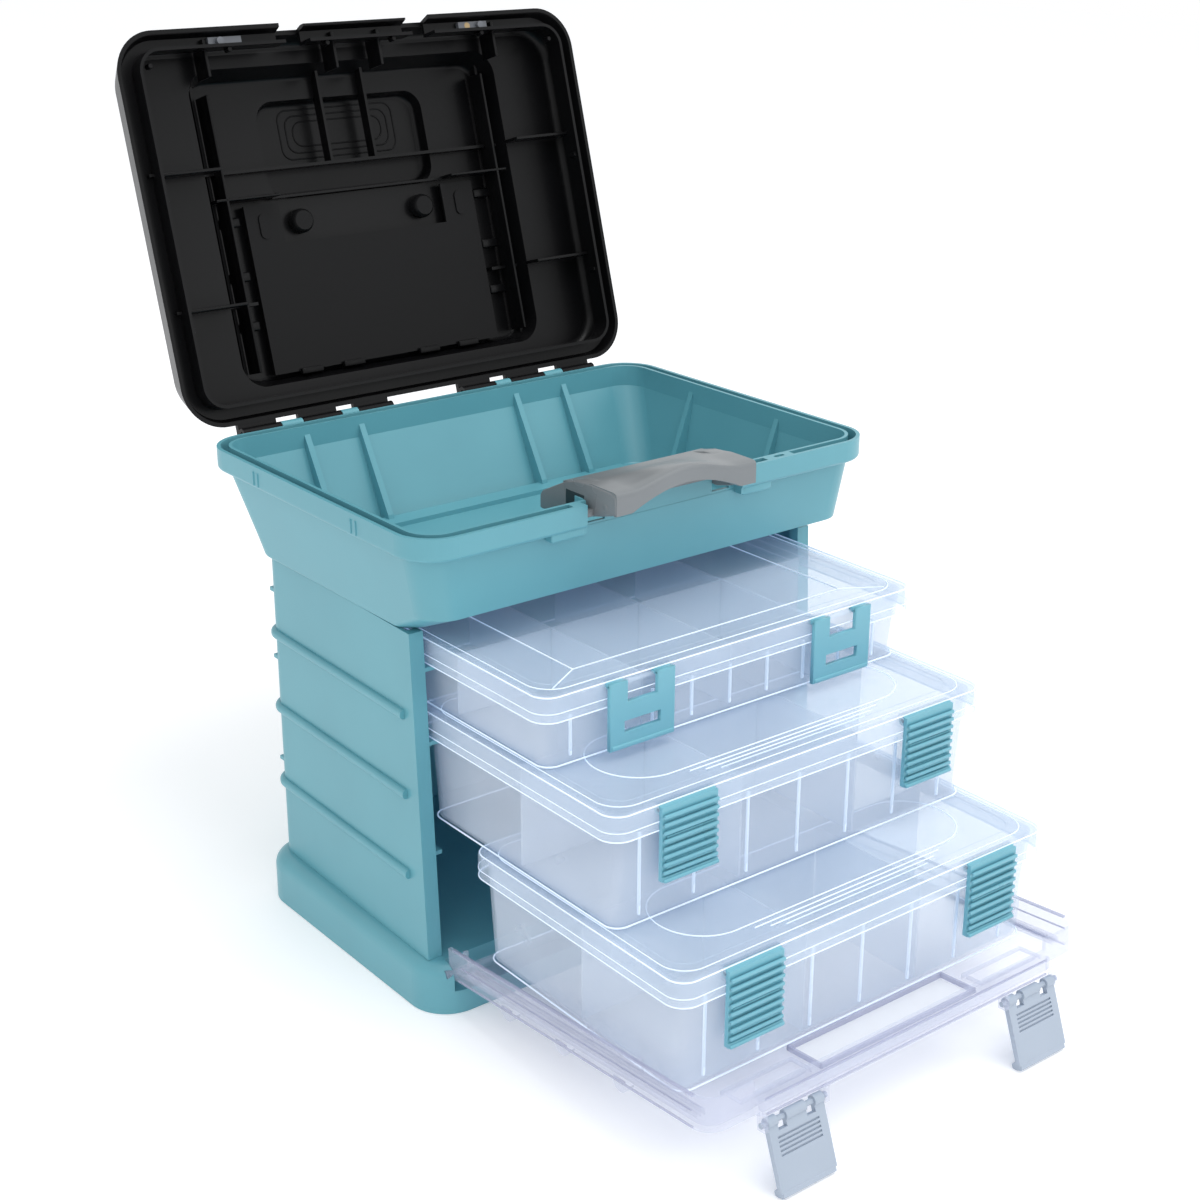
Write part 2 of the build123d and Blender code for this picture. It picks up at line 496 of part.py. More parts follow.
def front_door():
    z0 = -DOOR_SKIN - 1.5
    plan = make_face(Polyline(
        ((-DOOR_HALF_WIDTH, 2), (DOOR_HALF_WIDTH, 2), (DOOR_HALF_WIDTH, -DOOR_LENGTH),
         (-DOOR_HALF_WIDTH, -DOOR_LENGTH)), close=True))
    plan = fillet(plan.vertices().group_by(Axis.Y)[0], DOOR_CORNER_R)
    solid = Pos(0, 0, z0) * extrude(plan, DOOR_SIDE_HEIGHT)
    hollow = offset(plan, -DOOR_SKIN)
    solid -= Pos(0, 0, z0 + DOOR_SKIN) * extrude(hollow, DOOR_SIDE_HEIGHT)
    # The hinge edge and the front edge are low, the side rails full height
    solid -= block(-DOOR_HALF_WIDTH + DOOR_SKIN, DOOR_HALF_WIDTH - DOOR_SKIN, -3, 10, z0 + DOOR_SKIN + 2, 40)
    nose = block(-DOOR_NOSE_HALF, DOOR_NOSE_HALF, -DOOR_NOSE_LENGTH, -DOOR_LENGTH + 3, z0, z0 + 9)
    nose = fillet(nose.edges().filter_by(Axis.Z).group_by(Axis.Y)[0], 4)
    nose -= block(-DOOR_NOSE_HALF + 2, DOOR_NOSE_HALF - 2, -DOOR_NOSE_LENGTH + 2, -DOOR_LENGTH + 1, z0 + 2, z0 + 20)
    solid += nose
    front_top = z0 + 12
    solid -= block(-DOOR_NOSE_HALF, DOOR_NOSE_HALF, -DOOR_LENGTH - 1, -DOOR_LENGTH + DOOR_SKIN + 1, front_top, 40)
    # Ribs inside the side rails
    for x in (134.2, 136.8, 139.4):
        solid += mirrored(block(x - 0.6, x + 0.6, -DOOR_LENGTH + 14, -10, z0 + 1, z0 + DOOR_SKIN + 4))
    # Half-round feet under both sides
    for y in (-55.5, -106.5, -157.5):
        foot = rod_x(DOOR_HALF_WIDTH - 5, DOOR_HALF_WIDTH, y, z0 + 1, 6)
        foot -= block(DOOR_HALF_WIDTH - 6, DOOR_HALF_WIDTH + 1, y - 7, y + 7, z0 + 1, z0 + 9)
        solid += mirrored(foot)
    # Small upright pegs on top of the side rails
    for y in (-12, -130, -172):
        solid += mirrored(Pos(DOOR_HALF_WIDTH - 3, y, z0 + DOOR_SIDE_HEIGHT - 3) * Cylinder(1.7, 10))
    # Shallow trays where the latches sit when the door is shut
    for x in (-DOOR_LATCH_X, DOOR_LATCH_X):
        tray = block(x - 25, x + 25, -221, -205.5, z0 + 1, z0 + DOOR_SKIN + 3)
        tray -= block(x - 23, x + 23, -219, -207.5, z0 + DOOR_SKIN - 1, 20)
        solid += tray
    # Lugs that hold the latch pins
    for x in (-DOOR_LATCH_X, DOOR_LATCH_X):
        for side in (-1, 1):
            edge = x + side * (DOOR_LATCH_WIDTH / 2 + 0.5)
            lug = block(edge, edge + side * 3, -DOOR_NOSE_LENGTH - 3.4, -DOOR_NOSE_LENGTH + 2, z0 - 6.4, z0 + 3)
            solid += lug
        reach = DOOR_LATCH_WIDTH / 2 + 5
        solid -= rod_x(x - reach, x + reach, latch_pivot_y(), latch_pivot_z(), DOOR_LATCH_PIN_R + RUNNING_GAP)
    # Hinge pegs
    for side in (-1, 1):
        solid += rod_x(side * (DOOR_HALF_WIDTH - 2), side * (DOOR_HALF_WIDTH + 4), 0, 0, DOOR_HINGE_PIN_R)
    return laid(solid)


def latch_pivot_y():
    return -DOOR_NOSE_LENGTH - 0.4


def latch_pivot_z():
    return -DOOR_SKIN - 1.5 - 3.5


def door_latch(x):
    # Drawn hanging straight down from its pin, then swung forward
    half = DOOR_LATCH_WIDTH / 2
    t = DOOR_LATCH_THICK
    body = block(x - half, x + half, -t / 2, t / 2, -DOOR_LATCH_LENGTH + 4, -2)
    toe = block(x - half + 1, x + half - 1, -t / 2, t / 2 + 4, -DOOR_LATCH_LENGTH, -DOOR_LATCH_LENGTH + 4)
    body += fillet(toe.edges().filter_by(Axis.X), 1.2)
    body += block(x - half, x + half, -t / 2 + 0.1, t / 2 - 1, -DOOR_LATCH_LENGTH + 2.9, -DOOR_LATCH_LENGTH + 5.3)
    # Grip grooves near the pin
    for i in range(5):
        z = -9 - 2.4 * i
        body -= block(x - half + 5, x + half - 5, -t / 2 - 1, -t / 2 + 0.8, z - 0.6, z + 0.6)
    # Two windows with the hooked claw between them
    for side in (-1, 1):
        body -= block(x + side * 7, x + side * 13, -5, 5, -5.6, -2)
    body += rod_x(x - half, x + half, 0, 0, 3.0) - mirrored_windows(x)
    body += block(x - 5, x + 5, 0, 2.5, -6.5, 0.4)
    # Pin stubs
    body += rod_x(x - half - 3.3, x + half + 3.3, 0, 0, DOOR_LATCH_PIN_R)
    forward = 90 - DOOR_LATCH_HANG_DEG
    body = Rot(DOOR_TILT_DEG - forward, 0, 0) * body
    return laid(Pos(0, latch_pivot_y(), latch_pivot_z()) * body)


def mirrored_windows(x):
    return block(x - 13, x - 7, -5, 5, -5.6, 5) + block(x + 7, x + 13, -5, 5, -5.6, 5)


# Organizers
def box_tray(front_y, z0, height):
    y0 = front_y + TRAY_INSET
    y1 = front_y + BOX_DEPTH - TRAY_INSET
    half = BOX_HALF_WIDTH - TRAY_INSET
    top = z0 + height - BOX_WALL
    outer = tapered(
        half - TRAY_DRAFT, y0 + TRAY_DRAFT, y1 - TRAY_DRAFT, BOX_CORNER_R - 4, z0,
        half, y0, y1, BOX_CORNER_R - 3, top,
    )
    outer = fillet(outer.edges().group_by(Axis.Z)[0], 2.5)
    w = BOX_WALL
    inner = tapered(
        half - TRAY_DRAFT - w, y0 + TRAY_DRAFT + w, y1 - TRAY_DRAFT - w, BOX_CORNER_R - 6, z0 + w,
        half - w, y0 + w, y1 - w, BOX_CORNER_R - 5, top + 0.01,
    )
    return outer - inner


def box_dividers(front_y, z0, height, columns, rows):
    # Upright partitions, one moulded grid per organizer, just off the walls
    z1 = z0 + height - 6
    y0 = front_y + TRAY_INSET + TRAY_DRAFT + BOX_WALL
    y1 = front_y + BOX_DEPTH - TRAY_INSET - TRAY_DRAFT - BOX_WALL
    half = BOX_HALF_WIDTH - TRAY_INSET - TRAY_DRAFT - BOX_WALL
    grid = None
    for i in range(1, columns):
        x = -half + 2 * half * i / columns
        wall = block(x - 0.7, x + 0.7, y0, y1, z0 + BOX_WALL, z1)
        grid = wall if grid is None else grid + wall
    for i in range(1, rows):
        y = y0 + (y1 - y0) * i / rows
        wall = block(-half, half, y - 0.7, y + 0.7, z0 + BOX_WALL, z1)
        grid = wall if grid is None else grid + wall
    return grid


def box_lid(front_y, z0, height, clips, clip_width):
    top = z0 + height
    y0, y1 = front_y, front_y + BOX_DEPTH
    lid = rounded(BOX_HALF_WIDTH, y0, y1, BOX_CORNER_R, top - LID_SKIRT, top)
    lid = fillet(lid.edges().group_by(Axis.Z)[-1], 2)
    t = LID_SKIRT_WALL
    lid -= rounded(BOX_HALF_WIDTH - t, y0 + t, y1 - t, BOX_CORNER_R - t, top - LID_SKIRT - 1, top - BOX_WALL)
    # Shallow sunk panel in the lid's top
    lid -= rounded(BOX_HALF_WIDTH - 12, y0 + 14, y1 - 12, 14, top - 0.6, top + 1)
    # Gaps in the front edge for the clips, each crossed by a hinge bar
    for x in clips:
        half = clip_width / 2 + CLIP_GAP
        lid -= block(x - half, x + half, y0 - 1, y0 + 4.6, top - LID_SKIRT - 1, top + 1)
        for side in (-1, 1):
            edge = x + side * half
            lid += block(edge - side * 0.2, edge + side * 2, y0 + 1.0, y0 + 4.4, top - 7, top - 1.0)
        lid += rod_x(x - half - 1, x + half + 1, y0 + CLIP_PIN_BACK, top - CLIP_PIN_DROP, CLIP_PIN_R)
    return lid


def box_clip(front_y, z0, height, x, width, length):
    top = z0 + height
    y = front_y + CLIP_PIN_BACK
    z = top - CLIP_PIN_DROP
    half = width / 2
    face_y = y - CLIP_PROUD
    body = rod_x(x - half, x + half, y, z, CLIP_PIN_R + RUNNING_GAP + CLIP_CURL_WALL)
    body += block(x - half, x + half, face_y, face_y + CLIP_THICK, top - length, z)
    body += block(x - half, x + half, face_y, y, z - 1.2, z + 2.2)
    foot = block(x - half, x + half, face_y - 1.5, face_y + CLIP_THICK, top - length, top - length + 3)
    body += fillet(foot.edges().filter_by(Axis.X).group_by(Axis.Y)[0], 1)
    # Finger ridges across the face
    for i in range(7):
        ridge_z = top - length + 7 + 3.6 * i
        body += block(x - half + 3, x + half - 3, face_y - 0.6, face_y + 0.5, ridge_z, ridge_z + 1.2)
    body -= rod_x(x - half - 1, x + half + 1, y, z, CLIP_PIN_R + RUNNING_GAP)
    return body


BOXES = (
    ("lower", LOWER_BOX_FRONT_Y, LOWER_BOX_Z, BOX_DEEP, 90.0, 38.0, 46.0, 3, 2),
    ("middle", MIDDLE_BOX_FRONT_Y, middle_box_z, BOX_DEEP, 90.0, 38.0, 44.0, 3, 2),
    ("top", TOP_BOX_FRONT_Y, top_box_z, BOX_SHALLOW, 75.0, 45.0, 40.0, 4, 2),
)


def save(shape, name):
    solids = shape.solids()
    shape = solids[0] if len(solids) == 1 else Compound(children=list(solids))
    shape.label = name
    export_step(shape, "parts/" + name + ".step")


os.makedirs("parts", exist_ok=True)
save(base_plinth(), "base_plinth")
save(side_panel(-1), "side_panel_left")
save(side_panel(1), "side_panel_right")
save(back_panel(), "back_panel")
save(top_tub(), "top_tub")
save(lid_shell(), "lid_shell")
save(lid_inner_plate(), "lid_inner_plate")
save(lid_catch(-1), "lid_catch_left")
save(lid_catch(1), "lid_catch_right")
save(lid_hinge_pins(), "lid_hinge_pins")
save(carry_handle(), "carry_handle")
save(front_door(), "front_door")
save(door_latch(-DOOR_LATCH_X), "door_latch_left")
save(door_latch(DOOR_LATCH_X), "door_latch_right")
for name, front, base, height, clip_x, clip_width, clip_length, columns, rows in BOXES:
    save(box_tray(front, base, height), name + "_organizer_tray")
    save(box_lid(front, base, height, (-clip_x, clip_x), clip_width), name + "_organizer_lid")
    save(box_dividers(front, base, height, columns, rows), name + "_organizer_dividers")
    save(box_clip(front, base, height, -clip_x, clip_width, clip_length), name + "_clip_left")
    save(box_clip(front, base, height, clip_x, clip_width, clip_length), name + "_clip_right")
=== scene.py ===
from math import cos, pi, radians, sin

import bmesh
import bpy
from mathutils import Matrix, Vector


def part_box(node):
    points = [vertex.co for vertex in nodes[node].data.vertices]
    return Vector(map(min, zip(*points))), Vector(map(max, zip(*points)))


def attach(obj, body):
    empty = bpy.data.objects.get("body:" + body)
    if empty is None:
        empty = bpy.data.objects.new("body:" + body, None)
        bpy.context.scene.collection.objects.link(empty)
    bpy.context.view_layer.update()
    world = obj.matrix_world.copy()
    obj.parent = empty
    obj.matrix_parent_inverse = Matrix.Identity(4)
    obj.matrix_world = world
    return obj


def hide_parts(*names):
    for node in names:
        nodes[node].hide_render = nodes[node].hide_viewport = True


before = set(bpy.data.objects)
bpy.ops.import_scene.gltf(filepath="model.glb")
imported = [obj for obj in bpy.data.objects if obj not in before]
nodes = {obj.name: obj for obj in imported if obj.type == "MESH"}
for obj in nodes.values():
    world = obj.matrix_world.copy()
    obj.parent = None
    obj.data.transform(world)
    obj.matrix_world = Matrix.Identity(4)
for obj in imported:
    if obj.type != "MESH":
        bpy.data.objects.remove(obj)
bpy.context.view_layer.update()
MM = 0.001


# Rack body: teal polypropylene mouldings snapped together.
# A plinth, two ribbed side panels that wrap round the back corners, a back panel and
# the flared tub on top. Satin finish from a lightly textured mould.
def moulded_plastic(name, colour, shade, roughness, grain=0.06, shine=0.5):
    """Satin moulded plastic: two close shades in soft clouds, fine mould texture."""
    material = bpy.data.materials.new(name)
    material.use_nodes = True
    tree = material.node_tree
    shader = tree.nodes["Principled BSDF"]
    shader.inputs["Specular IOR Level"].default_value = shine
    place = tree.nodes.new("ShaderNodeTexCoord")
    cloud = tree.nodes.new("ShaderNodeTexNoise")
    cloud.inputs["Scale"].default_value = 14.0
    cloud.inputs["Detail"].default_value = 3.0
    tree.links.new(place.outputs["Object"], cloud.inputs["Vector"])
    shades = tree.nodes.new("ShaderNodeValToRGB")
    shades.color_ramp.elements[0].position = 0.3
    shades.color_ramp.elements[1].position = 0.7
    shades.color_ramp.elements[0].color = (*shade, 1)
    shades.color_ramp.elements[1].color = (*colour, 1)
    tree.links.new(cloud.outputs["Fac"], shades.inputs["Fac"])
    tree.links.new(shades.outputs["Color"], shader.inputs["Base Color"])
    texture = tree.nodes.new("ShaderNodeTexNoise")
    texture.inputs["Scale"].default_value = 1900.0
    texture.inputs["Detail"].default_value = 4.0
    tree.links.new(place.outputs["Object"], texture.inputs["Vector"])
    sheen = tree.nodes.new("ShaderNodeMapRange")
    sheen.inputs["To Min"].default_value = roughness - 0.05
    sheen.inputs["To Max"].default_value = roughness + 0.07
    tree.links.new(cloud.outputs["Fac"], sheen.inputs["Value"])
    tree.links.new(sheen.outputs["Result"], shader.inputs["Roughness"])
    bump = tree.nodes.new("ShaderNodeBump")
    bump.inputs["Strength"].default_value = grain
    bump.inputs["Distance"].default_value = 0.0002
    tree.links.new(texture.outputs["Fac"], bump.inputs["Height"])
    tree.links.new(bump.outputs["Normal"], shader.inputs["Normal"])
    return material


def dress(node, material):
    nodes[node].data.materials.clear()
    nodes[node].data.materials.append(material)


def smooth_object(obj):
    for face in obj.data.polygons:
        face.use_smooth = True
    obj.data.shade_smooth()
    obj.modifiers.new("crisp", "EDGE_SPLIT").split_angle = radians(32)


teal = moulded_plastic("teal_moulding", (0.128, 0.375, 0.44), (0.113, 0.345, 0.41), 0.34)
for node in ("base_plinth", "side_panel_left", "side_panel_right", "back_panel", "top_tub"):
    dress(node, teal)


def finished(name, form, material, body):
    """Turns a bmesh in metres into a smooth piece of one material that moves with a body."""
    mesh = bpy.data.meshes.new(name)
    form.to_mesh(mesh)
    form.free()
    piece = bpy.data.objects.new(name, mesh)
    bpy.context.collection.objects.link(piece)
    mesh.materials.append(material)
    smooth_object(piece)
    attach(piece, body)
    return piece


def bar(name, low, high, soft, material, body, spin=None):
    """A short moulded bar or tab with softened edges, sizes in millimetres."""
    form = bmesh.new()
    bmesh.ops.create_cube(form, size=1.0)
    for vertex in form.verts:
        for axis in range(3):
            middle = (low[axis] + high[axis]) / 2
            vertex.co[axis] = (middle + vertex.co[axis] * (high[axis] - low[axis])) * MM
    bmesh.ops.bevel(form, geom=form.edges[:], offset=soft * MM, segments=3, affect="EDGES", profile=0.5)
    if spin is not None:
        bmesh.ops.transform(form, matrix=spin, verts=form.verts)
    return finished(name, form, material, body)


# Small mouldings on the tub's rim: the stepped tabs beside the handle's recess, and
# pairs of short upright ticks on the left end of the band.
SIDES = (("left", -1), ("right", 1))
for name, side in SIDES:
    x0, x1 = sorted((side * 59.0, side * 82.0))
    bar(f"rim_tab_{name}", (x0, -119.8, 283.4), (x1, -112.6, 289.0), 1.0, teal, "rack")
tick_half = 0.7
for i, y in enumerate((-52.0, -57.0, 52.0, 57.0)):
    bar(f"rim_tick_{i}", (-169.7, y - tick_half, 289.5), (-168.4, y + tick_half, 298.0), 0.4,
        teal, "rack")


# Lid: one deep black moulding with a stiffening plate clipped inside and two pale
# catches in its front groove. Swung open, so its underside faces the viewer.
black = moulded_plastic("black_moulding", (0.005, 0.005, 0.0055), (0.003, 0.003, 0.0035), 0.3, 0.09, 0.17)
plate_black = moulded_plastic("black_plate", (0.007, 0.007, 0.0075), (0.005, 0.005, 0.0055), 0.34, 0.05, 0.13)
catch_grey = moulded_plastic("catch_grey", (0.16, 0.17, 0.19), (0.13, 0.14, 0.16), 0.38)
dress("lid_shell", black)
dress("lid_inner_plate", plate_black)
dress("lid_catch_left", catch_grey)
dress("lid_catch_right", catch_grey)
dress("lid_hinge_pins", black)

# The lid's inner mouldings are placed on the closed lid, then swung open about its pins
lid_pin = Vector((0, 0.1275, 0.2987))
lid_opening = 106.3
lid_swing = (
    Matrix.Translation(lid_pin)
    @ Matrix.Rotation(radians(-lid_opening), 4, "X")
    @ Matrix.Translation(-lid_pin)
)


def round_stub(name, centre, radius, height, material, body, axis, spin=None):
    """A moulded boss or pin head with a rounded rim, sizes in millimetres."""
    form = bmesh.new()
    sides = 28
    rings = ((1.0, 0.0), (1.0, 0.62), (0.93, 0.86), (0.78, 1.0))
    loops = []
    for share, lift in rings:
        loop = []
        for k in range(sides):
            angle = 2 * pi * k / sides
            point = (radius * share * cos(angle), radius * share * sin(angle), height * lift)
            loop.append(form.verts.new(point))
        loops.append(loop)
    for low, high in zip(loops, loops[1:]):
        for k in range(sides):
            form.faces.new((low[k], low[(k + 1) % sides], high[(k + 1) % sides], high[k]))
    form.faces.new(loops[-1])
    form.faces.new(list(reversed(loops[0])))
    turn = {
        "X": Matrix.Rotation(radians(90), 4, "Y"),
        "-X": Matrix.Rotation(radians(-90), 4, "Y"),
        "-Z": Matrix.Rotation(radians(180), 4, "X"),
    }[axis]
    place = Matrix.Scale(MM, 4) @ Matrix.Translation(centre) @ turn
    bmesh.ops.transform(form, matrix=place, verts=form.verts)
    if spin is not None:
        bmesh.ops.transform(form, matrix=spin, verts=form.verts)
    return finished(name, form, material, body)


# Ejector pins' round ends along the lid's inner ridge, and the bosses by the plate
for i, (x, y) in enumerate(((150, -100), (156, -20), (156, 60), (95, -107), (25, -107))):
    for k, side in enumerate((-1, 1)):
        round_stub(f"lid_pin_{2 * i + k}", (side * x, y, 303.5), 1.7, 5.0, black, "lid",
                   "-Z", lid_swing)
plateau = 341
for i, x in enumerate((-47.0, 47.0)):
    round_stub(f"lid_boss_{i}", (x, -1.0, plateau), 8.0, 8.5, plate_black, "lid",
               "-Z", lid_swing)
brass = moulded_plastic("catch_brass", (0.55, 0.4, 0.2), (0.48, 0.34, 0.16), 0.32, 0.02)
round_stub("catch_rivet", (89.0, -113.3, 306.4), 2.3, 0.7, brass, "lid", "-Z", lid_swing)
# Deep ribs in mirrored pairs: across the shoulder to the outer wall, then in the raised middle
shoulder_low, shoulder_high = 305, 321
middle_low = 322
for i, (x_span, y_span, z_span) in enumerate((
    ((113, 162), (-37, -35), (shoulder_low, shoulder_high)),
    ((113, 162), (47, 49), (shoulder_low, shoulder_high)),
    ((16, 18), (-115, -92), (shoulder_low, shoulder_high)),
    ((107.5, 109.5), (-115, -92), (shoulder_low, shoulder_high)),
    ((103.5, 105.3), (-84, 92), (middle_low, plateau - 3)),
    ((-112, -66), (-19, -17.4), (middle_low, plateau)),
)):
    for k, mirror in enumerate((1, -1)):
        x0, x1 = sorted(mirror * x for x in x_span)
        bar(f"lid_rib_{2 * i + k}", (x0, y_span[0], z_span[0]), (x1, y_span[1], z_span[1]), 0.45,
            black, "lid", lid_swing)
# Small clips along the plate's back edge, and stepped pads between the plate and the walls
for i, x in enumerate((-62, -30, 30, 62)):
    bar(f"plate_clip_{i}", (x - 8, 93.5, 331.0), (x + 8, 97.5, 334.5), 0.7,
        plate_black, "lid", lid_swing)
for k, x in enumerate((98, -98)):
    for i, y in enumerate((-5, 30, 62)):
        bar(f"lid_step_{3 * k + i}", (x - 7, y - 3, 336.5), (x + 7, y + 3, 341.5), 1.0,
            black, "lid", lid_swing)


def raised_line(name, points, thick, material, body, closed=True):
    """A low rounded bead moulded on a lid or tray, along points in millimetres."""
    curve = bpy.data.curves.new(name, "CURVE")
    curve.dimensions = "3D"
    curve.bevel_depth = thick * MM
    curve.bevel_resolution = 2
    line = curve.splines.new("POLY")
    line.points.add(len(points) - 1)
    for spot, point in zip(line.points, points):
        spot.co = (point[0] * MM, point[1] * MM, point[2] * MM, 1)
    line.use_cyclic_u = closed
    piece = bpy.data.objects.new(name, curve)
    bpy.context.collection.objects.link(piece)
    curve.materials.append(material)
    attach(piece, body)
    return piece


def loop_points(half_x, y0, y1, radius, z, steps=10):
    """Outline of a rectangle with round corners, lying level."""
    points = []
    corners = ((half_x - radius, y1 - radius, 0), (-half_x + radius, y1 - radius, 90),
               (-half_x + radius, y0 + radius, 180), (half_x - radius, y0 + radius, 270))
    for cx, cy, start in corners:
        for k in range(steps + 1):
            angle = radians(start + 90 * k / steps)
            points.append((cx + radius * cos(angle), cy + radius * sin(angle), z))
    return points


# Stepped outline pressed into the crown of the lid
for k in range(3):
    outline = loop_points(44 - 5 * k, -74 + 4 * k, -42 - 4 * k, 7, 349.3)
    turned = [tuple(c / MM for c in lid_swing @ Vector([v * MM for v in point])) for point in outline]
    ring = raised_line(f"lid_crown_line_{k}", turned, 0.5, black, "lid")


# Carrying handle: one grey nylon moulding, a wide hood with side arms that turn on pins
# in the rim and an arched front lip for the fingers. Each arm has a rectangular window
# with a tab of the rim showing in it.
grey = moulded_plastic("handle_grey", (0.2, 0.215, 0.225), (0.175, 0.19, 0.2), 0.28, 0.08)
dress("carry_handle", grey)
dark = moulded_plastic("shadow_gap", (0.012, 0.03, 0.035), (0.01, 0.025, 0.03), 0.6)


def joined(name, form, material, body):
    """Finishes a bmesh drawn in millimetres as a smooth piece that moves with a body."""
    bmesh.ops.recalc_face_normals(form, faces=form.faces)
    bmesh.ops.scale(form, vec=(MM, MM, MM), verts=form.verts)
    return finished(name, form, material, body)


# Hood: top skin and front lip in one sheet, given its wall thickness inwards
def hood_swell(x):
    """How far the top rises over the fingers, from 0 at the shoulders to 1 in the middle."""
    return max(0.0, cos(pi * x / 76)) ** 1.4 if abs(x) < 38 else 0.0


hood_half, hood_back, hood_depth = 51.6, -90, 40
hood_steps = 60
hood_rows = []
for step in range(hood_steps + 1):
    x = -hood_half + 2 * hood_half * step / hood_steps
    swell = hood_swell(x)
    row = []
    for k in range(7):
        y = hood_back - hood_depth * k / 6
        rise = max(0.0, (-100 - y) / 30) ** 1.5
        level = 306.8 + 4.4 * min(1.0, (hood_back - y) / 24.5)
        row.append((x, y, level + 5.6 * swell * rise))
    crest = 310.6 + 6.6 * swell
    foot = 297.8 + 10.4 * (max(0.0, cos(pi * x / 80)) ** 0.9 if abs(x) < 40 else 0.0)
    row += [(x, -135.4, crest + 0.6), (x, -137.8, crest), (x, -138.5, crest - 1.4)]
    row += [(x, -138.6, crest - 1.4 - (crest - 1.4 - foot) * k / 4) for k in range(1, 5)]
    row.append((x, -136.2, foot - 0.4))
    hood_rows.append(row)
hood_form = bmesh.new()
hood_grid = [[hood_form.verts.new(point) for point in row] for row in hood_rows]
for one, two in zip(hood_grid, hood_grid[1:]):
    for k in range(len(one) - 1):
        hood_form.faces.new((one[k], one[k + 1], two[k + 1], two[k]))
hood = joined("handle_hood", hood_form, grey, "handle")
wall = hood.modifiers.new("wall", "SOLIDIFY")
wall.thickness = 2.6 * MM
wall.offset = -1.0
hood.modifiers.move(1, 0)
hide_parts("carry_handle")

# Side arms, and the web under the hood behind the finger space
arm_outline = (
    (-68, 285.2), (-68.2, 293.2), (-70.5, 296.2), (-93.8, 307.6), (-103, 310), (-115.3, 310.9),
    (-134, 310.4), (-138.2, 308.6), (-138.4, 299.0), (-137, 298), (-124.3, 294.2), (-115.3, 292),
    (-100, 293), (-92, 291.2), (-82, 286.4), (-70, 284.8),
)
for name, side in SIDES:
    arm_form = bmesh.new()
    inner, outer = [
        [arm_form.verts.new((side * x, y, z)) for y, z in arm_outline]
        for x in (41.5, 52.0)
    ]
    count = len(arm_outline)
    for k in range(count):
        after = (k + 1) % count
        arm_form.faces.new((inner[k], inner[after], outer[after], outer[k]))
    arm_form.faces.new(inner)
    arm_form.faces.new(list(reversed(outer)))
    arm = joined(f"handle_arm_{name}", arm_form, grey, "handle")
    soft_edge = arm.modifiers.new("soft_edge", "BEVEL")
    soft_edge.width = 0.9 * MM
    soft_edge.segments = 3
    soft_edge.angle_limit = radians(40)
    arm.modifiers.move(1, 0)
    # Window in the arm, the tab that shows in it, and a round dimple in front of it
    x0, x1 = sorted((side * 51.4, side * 52.15))
    bar(f"handle_slot_{name}", (x0, -110.0, 293.5), (x1, -93.0, 303.0), 0.3,
        dark, "handle")
    x0, x1 = sorted((side * 51.6, side * 52.5))
    bar(f"handle_slot_tab_{name}", (x0, -109.5, 293.6), (x1, -101.5, 301.2), 0.35,
        teal, "handle")
    round_stub(f"handle_dimple_{name}", (side * 51.6, -129.1, 300.6), 2.2, 0.8,
               grey, "handle", "X" if side > 0 else "-X")
    # Pins into the rim's lugs
    x0, x1 = sorted((side * 51.0, side * 57.6))
    bar(f"handle_pin_{name}", (x0, -118.6, 292.9), (x1, -114.4, 297.1), 0.9,
        grey, "handle")
bar("handle_web", (-42.0, -121.5, 299.5), (42.0, -119.5, 310.5), 0.6, grey, "handle")


# Front door: clear polypropylene tray with low walls, folded down on its hinge pegs.
# It shows the table through it, with a lavender tint where the walls are seen edge on.
def clear_plastic(name, colour, alpha, roughness, streak=0.04, painted_glow=0.0):
    """See-through moulded plastic with faint flow marks in its clearness and polish. Its glow is painted
    light, a pale blue emission that brightens the plastic.
    """
    material = bpy.data.materials.new(name)
    material.use_nodes = True
    material.surface_render_method = "BLENDED"
    tree = material.node_tree
    shader = tree.nodes["Principled BSDF"]
    shader.inputs["Base Color"].default_value = (*colour, 1)
    # Pale blue emission: painted light that makes the plastic glow brighter
    shader.inputs["Emission Color"].default_value = (0.4, 0.62, 1.0, 1)
    shader.inputs["Emission Strength"].default_value = painted_glow
    place = tree.nodes.new("ShaderNodeTexCoord")
    flow = tree.nodes.new("ShaderNodeTexNoise")
    flow.inputs["Scale"].default_value = 22.0
    flow.inputs["Detail"].default_value = 3.0
    flow.inputs["Distortion"].default_value = 0.6
    tree.links.new(place.outputs["Object"], flow.inputs["Vector"])
    haze = tree.nodes.new("ShaderNodeMapRange")
    haze.inputs["To Min"].default_value = alpha - streak
    haze.inputs["To Max"].default_value = alpha + streak
    tree.links.new(flow.outputs["Fac"], haze.inputs["Value"])
    tree.links.new(haze.outputs["Result"], shader.inputs["Alpha"])
    polish = tree.nodes.new("ShaderNodeMapRange")
    polish.inputs["To Min"].default_value = roughness - 0.04
    polish.inputs["To Max"].default_value = roughness + 0.06
    tree.links.new(flow.outputs["Fac"], polish.inputs["Value"])
    tree.links.new(polish.outputs["Result"], shader.inputs["Roughness"])
    ripple = tree.nodes.new("ShaderNodeBump")
    ripple.inputs["Strength"].default_value = 0.08
    ripple.inputs["Distance"].default_value = 0.0004
    tree.links.new(flow.outputs["Fac"], ripple.inputs["Height"])
    tree.links.new(ripple.outputs["Normal"], shader.inputs["Normal"])
    return material


clear = clear_plastic("door_clear", (0.72, 0.76, 0.93), 0.22, 0.1)
dress("front_door", clear)
# The door's mouldings are placed on a level door with its hinge at the origin, then tilted
door_hinge = (0, -0.1025, 0.026)
door_tilt = -5.0
door_place = Matrix.Translation(door_hinge) @ Matrix.Rotation(radians(door_tilt), 4, "X")
door_edge = clear_plastic("door_clear_edge", (0.5, 0.52, 0.68), 0.5, 0.12)
door_white = clear_plastic("door_label_white", (0.97, 0.98, 1.0), 0.55, 0.2)
